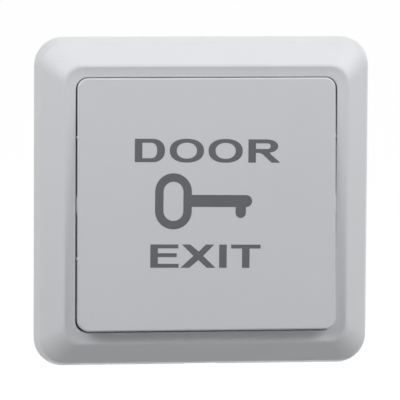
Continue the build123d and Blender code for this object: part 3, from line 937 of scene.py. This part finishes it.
def spring_tree():
    """A round-wire spring along -Y whose first and last turns lie closed."""
    tree, start, end = new_geometry_tree(
        "Return spring",
        {
            "NodeSocketFloat": ("Foot", "Length", "Radius", "Wire"),
            "NodeSocketInt": ("Turns",),
            "NodeSocketMaterial": ("Material",),
        },
    )
    add = partial(new_node, tree)
    calc = partial(math_node, tree)
    given = start.outputs
    points_per_turn = 36
    wire_corners = 14
    line = add("GeometryNodeCurvePrimitiveLine").outputs["Curve"]
    count = calc("MULTIPLY", given["Turns"], points_per_turn)
    points = add("GeometryNodeResampleCurve", {"Curve": line, "Count": count})
    share = add("GeometryNodeSplineParameter").outputs["Factor"]
    one_turn = calc("DIVIDE", 1.0, given["Turns"])
    last_turn = calc("SUBTRACT", 1.0, one_turn)
    closed_foot = clamped_share(tree, share, 0.0, one_turn)
    closed_top = clamped_share(tree, share, last_turn, 1.0)
    active = clamped_share(tree, share, one_turn, last_turn)
    ends_rise = calc("MULTIPLY", calc("ADD", closed_foot, closed_top), given["Wire"])
    free = calc("SUBTRACT", given["Length"], calc("MULTIPLY", given["Wire"], 2.0))
    rise = calc("ADD", ends_rise, calc("MULTIPLY", active, free))
    angle = calc("MULTIPLY", calc("MULTIPLY", share, given["Turns"]), 2 * math.pi)
    place = add(
        "ShaderNodeCombineXYZ",
        {
            "X": calc("MULTIPLY", calc("COSINE", angle), given["Radius"]),
            "Y": calc("SUBTRACT", given["Foot"], rise),
            "Z": calc("MULTIPLY", calc("SINE", angle), given["Radius"]),
        },
    )
    coil = add(
        "GeometryNodeSetPosition",
        {"Geometry": points.outputs["Curve"], "Position": place.outputs["Vector"]},
    )
    wire_radius = calc("DIVIDE", given["Wire"], 2.0)
    wire = swept(tree, coil.outputs["Geometry"], wire_radius, wire_corners)
    put_out(tree, end, wire, given["Material"])
    return tree


def screw_tree():
    """Two like screws: a crowned head with a cross recess, a core and a thread.

    A screw is made along +Z with its head's seat at 0, and turned so that its head faces the front
    (Facing 1) or the back (Facing -1).
    """
    head_sizes = ("Head Radius", "Head Height", "Crown")
    shank_sizes = ("Core Radius", "Thread Depth", "Pitch", "Length")
    recess_sizes = ("Recess Span", "Recess Width", "Recess Depth")
    tree, start, end = new_geometry_tree(
        "Cross-head screws",
        {
            "NodeSocketVector": ("First", "Second"),
            "NodeSocketFloat": ("Facing", *head_sizes, *shank_sizes, *recess_sizes),
            "NodeSocketMaterial": ("Material",),
        },
    )
    add = partial(new_node, tree)
    calc = partial(math_node, tree)
    given = start.outputs

    def vector(x, y, z):
        """A vector from three sockets or numbers."""
        return add("ShaderNodeCombineXYZ", {"X": x, "Y": y, "Z": z}).outputs["Vector"]

    def moved(geometry, translation, rotation=(0, 0, 0)):
        """A geometry moved and turned."""
        inputs = {"Geometry": geometry, "Translation": translation, "Rotation": rotation}
        return add("GeometryNodeTransform", inputs).outputs["Geometry"]

    # Head, whose top rises from its edge to its middle, steeply first
    steepness = 3.0
    side_height = calc("SUBTRACT", given["Head Height"], given["Crown"])
    half_side = calc("DIVIDE", side_height, 2.0)
    head = add(
        "GeometryNodeMeshCylinder",
        {
            "Vertices": 32,
            "Fill Segments": 6,
            "Radius": given["Head Radius"],
            "Depth": side_height,
        },
    )
    place = add("GeometryNodeInputPosition").outputs["Position"]
    parts = add("ShaderNodeSeparateXYZ", {"Vector": place}).outputs
    squares = [calc("MULTIPLY", parts[axis], parts[axis]) for axis in ("X", "Y")]
    across = calc("SQRT", calc("ADD", *squares))
    share = calc("MINIMUM", calc("DIVIDE", across, given["Head Radius"]), 1.0)
    fall = calc("SUBTRACT", 1.0, calc("POWER", share, steepness))
    crown = add(
        "GeometryNodeSetPosition",
        {
            "Geometry": moved(head.outputs["Mesh"], vector(0, 0, half_side)),
            "Selection": calc("GREATER_THAN", parts["Z"], half_side),
            "Offset": vector(0, 0, calc("MULTIPLY", fall, given["Crown"])),
        },
    )

    # Cross recess
    recess = add(
        "GeometryNodeMeshBoolean", {"Mesh 1": crown.outputs["Geometry"]}, operation="DIFFERENCE"
    )
    cutter_height = calc("MULTIPLY", given["Recess Depth"], 2.0)
    for wide, deep in (("Recess Span", "Recess Width"), ("Recess Width", "Recess Span")):
        size = vector(given[wide], given[deep], cutter_height)
        cutter = add("GeometryNodeMeshCube", {"Size": size}).outputs["Mesh"]
        raised_cutter = moved(cutter, vector(0, 0, given["Head Height"]))
        tree.links.new(raised_cutter, recess.inputs["Mesh 2"])

    # Core and thread
    core = add(
        "GeometryNodeMeshCylinder",
        {"Vertices": 24, "Radius": given["Core Radius"], "Depth": given["Length"]},
    )
    shank = moved(core.outputs["Mesh"], vector(0, 0, calc("DIVIDE", given["Length"], -2.0)))
    helix = add(
        "GeometryNodeCurveSpiral",
        {
            "Resolution": 24,
            "Rotations": calc("DIVIDE", given["Length"], given["Pitch"]),
            "Start Radius": given["Core Radius"],
            "End Radius": given["Core Radius"],
            "Height": calc("SUBTRACT", given["Length"], given["Pitch"]),
        },
    )
    upright = add("GeometryNodeSetCurveNormal", {"Curve": helix.outputs["Curve"]}, mode="Z_UP")
    thread = swept(tree, upright.outputs["Curve"], given["Thread Depth"], corners=4)
    wound = moved(thread, vector(0, 0, calc("MULTIPLY", given["Length"], -1.0)))

    # The two screws in their places
    screw = joined(tree, (recess.outputs["Mesh"], shank, wound))
    turn = vector(calc("MULTIPLY", given["Facing"], math.pi / 2), 0, 0)
    pair = joined(tree, [moved(screw, given[label], turn) for label in ("First", "Second")])
    put_out(tree, end, pair, given["Material"])
    return tree


def screw_pair(node, name, facing, head_height, core_radius):
    """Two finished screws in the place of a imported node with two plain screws.

    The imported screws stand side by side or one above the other. facing is 1 where the heads face
    the front. head_height and core_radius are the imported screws' own.
    """
    sizes = bpy.context.scene.exit_button.screws
    low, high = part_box(node)
    points = [vertex.co for vertex in frame["nodes"][node].data.vertices]
    halves = []
    for side in (-1, 1):
        half = [point for point in points if side * (point.x + point.z) > 0]
        left, right = min(point.x for point in half), max(point.x for point in half)
        foot, top = min(point.z for point in half), max(point.z for point in half)
        halves.append(((left + right) / 2, (foot + top) / 2, (right - left) / 2))
    crown = low.y if facing > 0 else high.y
    seat = crown + facing * head_height
    head_radius = halves[0][2]
    tree = bpy.data.node_groups.get("Cross-head screws") or screw_tree()
    piece = grown(
        name,
        tree,
        {
            "First": (halves[0][0], seat, halves[0][1]),
            "Second": (halves[1][0], seat, halves[1][1]),
            "Facing": float(facing),
            "Head Radius": head_radius,
            "Head Height": head_height,
            "Crown": sizes.crown,
            "Core Radius": core_radius - sizes.thread,
            "Thread Depth": sizes.thread,
            "Pitch": sizes.pitch,
            "Length": high.y - low.y - head_height,
            "Recess Span": sizes.recess_span * head_radius,
            "Recess Width": sizes.recess_width * head_radius,
            "Recess Depth": sizes.recess,
            "Material": zinc_plate(),
        },
    )
    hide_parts(node)
    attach(piece, "base")
    return piece


# Operators

class EXITBUTTON_OT_cover(Operator):
    """Make the bevelled cover frame"""

    bl_idname = "exit_button.cover"
    bl_label = "Cover frame"

    def execute(self, context):
        settings = context.scene.exit_button
        white = white_plastic("Cover plastic", settings.colours.cover)
        dress("trim_frame", "cover", "base", white, settings.moulded.cover_edge)
        return {"FINISHED"}


class EXITBUTTON_OT_paddle(Operator):
    """Make the hinged push paddle"""

    bl_idname = "exit_button.paddle"
    bl_label = "Paddle"

    def execute(self, context):
        settings = context.scene.exit_button
        edge = settings.moulded.cover_edge
        white = white_plastic("Paddle plastic", settings.colours.paddle)
        dress("button_paddle", "paddle", "paddle", white, edge)
        return {"FINISHED"}


class EXITBUTTON_OT_print(Operator):
    """Print the two words and the key on the paddle"""

    bl_idname = "exit_button.print"
    bl_label = "Print on the paddle"

    def execute(self, context):
        sizes = context.scene.exit_button.print_sizes
        strokes = (sizes.cap_height / MM, sizes.stem / MM, sizes.bar / MM)
        upper_gaps = (1.2, 1.15, 1.45)
        lower_gaps = (0.45, 0.9, 1.1)
        upper = word((letter_d, letter_o, letter_o, letter_r), upper_gaps, *strokes)
        lower = word((letter_e, letter_x, letter_i, letter_t), lower_gaps, *strokes)
        print_on_paddle("upper_word", upper, (sizes.upper_shift, sizes.upper_line))
        print_on_paddle("key_sign", key_edges(), (sizes.key_shift, sizes.key_line))
        print_on_paddle("lower_word", lower, (sizes.lower_shift, sizes.lower_line))
        return {"FINISHED"}


class EXITBUTTON_OT_plate(Operator):
    """Make the mounting plate behind the cover"""

    bl_idname = "exit_button.plate"
    bl_label = "Mounting plate"

    def execute(self, context):
        edge = context.scene.exit_button.moulded.inner_edge
        dress("mounting_plate", "back_plate", "base", plate_plastic(), edge)
        return {"FINISHED"}


class EXITBUTTON_OT_housing(Operator):
    """Make the switch housing, its lid and the plunger"""

    bl_idname = "exit_button.housing"
    bl_label = "Switch housing"

    def execute(self, context):
        sizes = context.scene.exit_button.moulded
        edge, nose = sizes.inner_edge, sizes.nose_round
        stiff = housing_plastic()
        slippery = plunger_plastic()
        dress("switch_housing", "housing_box", "base", stiff, edge)
        dress("housing_lid", "housing_cover", "base", stiff, edge)
        dress("plunger", "push_plunger", "plunger", slippery, edge, nose)
        return {"FINISHED"}


class EXITBUTTON_OT_spring(Operator):
    """Wind the return spring"""

    bl_idname = "exit_button.spring"
    bl_label = "Return spring"

    def execute(self, context):
        settings = context.scene.exit_button
        wire = settings.spring.wire
        low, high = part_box("return_spring")
        spring = grown(
            "coil_spring",
            spring_tree(),
            {
                "Foot": high.y - wire / 2,
                "Length": high.y - low.y - wire,
                "Radius": (high.x - low.x - wire) / 2,
                "Wire": wire,
                "Turns": settings.spring.turns,
                "Material": metal("Spring steel", settings.colours.steel, (0.2, 0.3)),
            },
        )
        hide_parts("return_spring")
        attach(spring, "base")
        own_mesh(spring)
        return {"FINISHED"}


class EXITBUTTON_OT_contacts(Operator):
    """Make the brass strips, the contact leaf, the contacts, the rivet and the clamps"""

    bl_idname = "exit_button.contacts"
    bl_label = "Contacts and terminals"

    def execute(self, context):
        colours = context.scene.exit_button.colours
        edge = context.scene.exit_button.moulded.inner_edge
        brass = metal("Rolled brass", colours.brass, (0.26, 0.38), ROLLED_ALONG_X)
        bronze = metal("Rolled bronze", colours.bronze, (0.24, 0.34), ROLLED_ALONG_X)
        silver = metal("Contact silver", colours.silver, (0.18, 0.28))
        zinc = zinc_plate()
        dress("common_terminal", "common_strip", "base", brass, edge)
        dress("open_terminal", "open_strip", "base", brass, edge)
        dress("leaf_rivet", "rivet", "base", bronze, edge)
        dress("common_clamp", "common_saddle", "base", zinc, edge)
        dress("open_clamp", "open_saddle", "base", zinc, edge)
        dress("moving_contact", "moving_button", "contact_arm", silver, edge)
        dress("fixed_contact", "fixed_button", "base", silver, edge)
        leaf = soften(whole_copy("contact_leaf", "bending_leaf"), edge / 2)
        leaf.data.materials.append(bronze)
        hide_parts("contact_leaf")
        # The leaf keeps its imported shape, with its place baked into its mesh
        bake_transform(leaf)
        return {"FINISHED"}


class EXITBUTTON_OT_screws(Operator):
    """Make the six small screws"""

    bl_idname = "exit_button.screws"
    bl_label = "Screws"

    def execute(self, context):
        sizes = context.scene.exit_button.screws
        screw_pair("housing_screws", "plate_screws", 1, sizes.small_head, sizes.small_shank)
        screw_pair("lid_screws", "cover_screws", -1, sizes.small_head, sizes.small_shank)
        screw_pair("terminal_screws", "clamp_screws", -1, sizes.clamp_head, sizes.clamp_shank)
        return {"FINISHED"}


class EXITBUTTON_OT_stage(Operator):
    """Lay the floor, light the room and set the camera"""

    bl_idname = "exit_button.stage"
    bl_label = "Stage"

    def execute(self, context):
        settings = context.scene.exit_button.stage
        lay_floor(settings)
        light_room(settings)
        set_camera(settings)
        context.scene.view_settings.view_transform = "Standard"
        return {"FINISHED"}


# Stage

def grey(level):
    """A grey of the given level."""
    return (level, level, level, 1.0)


def lit_or_shown(tree, lighting, shown):
    """One shader for the light on other things, and another for the camera, mirrors and glass."""
    path = tree.nodes.new("ShaderNodeLightPath").outputs
    seen = math_node(tree, "MAXIMUM", path["Is Camera Ray"], path["Is Glossy Ray"])
    seen = math_node(tree, "MAXIMUM", seen, path["Is Transmission Ray"])
    mix = new_node(tree, "ShaderNodeMixShader", {"Fac": seen, 1: lighting, 2: shown})
    return mix.outputs["Shader"]


def lay_floor(settings):
    """A plain pale floor that shows white and keeps the button's shadow."""
    reach = 40.0
    height = cad_box[0].z - settings.floor_drop
    mesh = bpy.data.meshes.new("floor")
    corners = ((-reach, -reach), (reach, -reach), (reach, reach), (-reach, reach))
    mesh.from_pydata([(x, y, height) for x, y in corners], [], [(0, 1, 2, 3)])
    floor = link_piece("floor", mesh)
    material = bpy.data.materials.new("White floor")
    material.use_nodes = True
    tree = material.node_tree
    tree.nodes.clear()
    add = partial(new_node, tree)
    pale = add("ShaderNodeBsdfDiffuse", {"Color": grey(settings.floor_pale)})
    glow = add("ShaderNodeEmission", {"Strength": settings.floor_glow})
    shown = add("ShaderNodeAddShader", {0: pale.outputs["BSDF"], 1: glow.outputs["Emission"]})
    dim = add("ShaderNodeBsdfDiffuse", {"Color": grey(settings.floor_bounce)})
    choice = lit_or_shown(tree, dim.outputs["BSDF"], shown.outputs["Shader"])
    add("ShaderNodeOutputMaterial", {"Surface": choice})
    mesh.materials.append(material)


def light_room(settings):
    """Faint light from the room, a white surround and four soft lamps round the button."""
    world = bpy.data.worlds.new("Soft room")
    bpy.context.scene.world = world
    world.use_nodes = True
    tree = world.node_tree
    tree.nodes.clear()
    add = partial(new_node, tree)
    calc = partial(math_node, tree)
    towards = add("ShaderNodeTexCoord").outputs["Generated"]
    parts = add("ShaderNodeSeparateXYZ", {"Vector": towards}).outputs
    rise = calc("MULTIPLY", parts["Z"], settings.room_rise)
    sides = calc("MULTIPLY", calc("MULTIPLY", parts["X"], parts["X"]), settings.room_sides)
    strength = calc("ADD", calc("ADD", rise, sides), settings.room_light)
    room = add("ShaderNodeBackground", {"Color": grey(1.0), "Strength": strength})
    white = add("ShaderNodeBackground", {"Color": grey(1.0), "Strength": 1.0})
    choice = lit_or_shown(tree, room.outputs["Background"], white.outputs["Background"])
    add("ShaderNodeOutputWorld", {"Surface": choice})
    # The frame's top lip would mirror the back lamp and lose its tone, so that lamp isn't mirrored
    for name, direction, power, mirrored in (
        ("left_lamp", settings.left_side, settings.left_lamp, True),
        ("right_lamp", settings.right_side, settings.right_lamp, True),
        ("top_lamp", settings.high_lamp, settings.top_lamp, True),
        ("back_lamp", settings.rear_lamp, settings.back_lamp, False),
    ):
        towards = Vector(direction).normalized()
        lamp = bpy.data.lights.new(name, "AREA")
        lamp.size = settings.lamp_width
        lamp.energy = power
        holder = bpy.data.objects.new(name, lamp)
        bpy.context.scene.collection.objects.link(holder)
        holder.location = towards * settings.lamp_distance
        holder.rotation_euler = towards.to_track_quat("Z", "Y").to_euler()
        holder.visible_camera = False
        holder.visible_glossy = mirrored


def set_camera(settings):
    """A long-lens camera a little left of and above the plate."""
    left, rise = settings.camera_left, settings.camera_rise
    level = math.cos(rise)
    away = Vector((-math.sin(left) * level, -math.cos(left) * level, math.sin(rise)))
    lens = bpy.data.cameras.new("camera")
    lens.sensor_width = 36.0
    lens.lens = lens.sensor_width * settings.camera_distance / settings.view_width
    lens.clip_start = 0.01
    lens.clip_end = 200.0
    camera = bpy.data.objects.new("camera", lens)
    bpy.context.scene.collection.objects.link(camera)
    camera.rotation_mode = "QUATERNION"
    facing = (-away).to_track_quat("-Z", "Y")
    roll = Matrix.Rotation(settings.camera_roll, 3, "Z").to_quaternion()
    camera.rotation_quaternion = facing @ roll
    camera.location = Vector(settings.aim) + away * settings.camera_distance
    bpy.context.scene.camera = camera


# Panel and start

class EXITBUTTON_PT_panel(Panel):
    """Steps that make the door exit button"""

    bl_idname = "EXITBUTTON_PT_panel"
    bl_label = "Door exit button"
    bl_space_type = "VIEW_3D"
    bl_region_type = "UI"
    bl_category = "Exit button"

    def draw(self, context):
        for operator in OPERATORS:
            self.layout.operator(operator.bl_idname)


SETTINGS = (
    MouldedSizes,
    PrintSizes,
    SpringSizes,
    ScrewSizes,
    FinishColours,
    StageSettings,
    ExitButtonSettings,
)
OPERATORS = (
    EXITBUTTON_OT_cover,
    EXITBUTTON_OT_paddle,
    EXITBUTTON_OT_print,
    EXITBUTTON_OT_plate,
    EXITBUTTON_OT_housing,
    EXITBUTTON_OT_spring,
    EXITBUTTON_OT_contacts,
    EXITBUTTON_OT_screws,
    EXITBUTTON_OT_stage,
)
CLASSES = (*SETTINGS, *OPERATORS, EXITBUTTON_PT_panel)


def register():
    """Adds the classes and the settings to Blender."""
    for entry in CLASSES:
        bpy.utils.register_class(entry)
    bpy.types.Scene.exit_button = PointerProperty(type=ExitButtonSettings)


def unregister():
    """Takes the settings and the classes out again."""
    del bpy.types.Scene.exit_button
    for entry in reversed(CLASSES):
        bpy.utils.unregister_class(entry)


def main():
    """Makes every piece and the stage."""
    register()
    bpy.ops.exit_button.cover()
    bpy.ops.exit_button.paddle()
    bpy.ops.exit_button.print()
    bpy.ops.exit_button.plate()
    bpy.ops.exit_button.housing()
    bpy.ops.exit_button.spring()
    bpy.ops.exit_button.contacts()
    bpy.ops.exit_button.screws()
    bpy.ops.exit_button.stage()


if __name__ == "__main__":
    main()
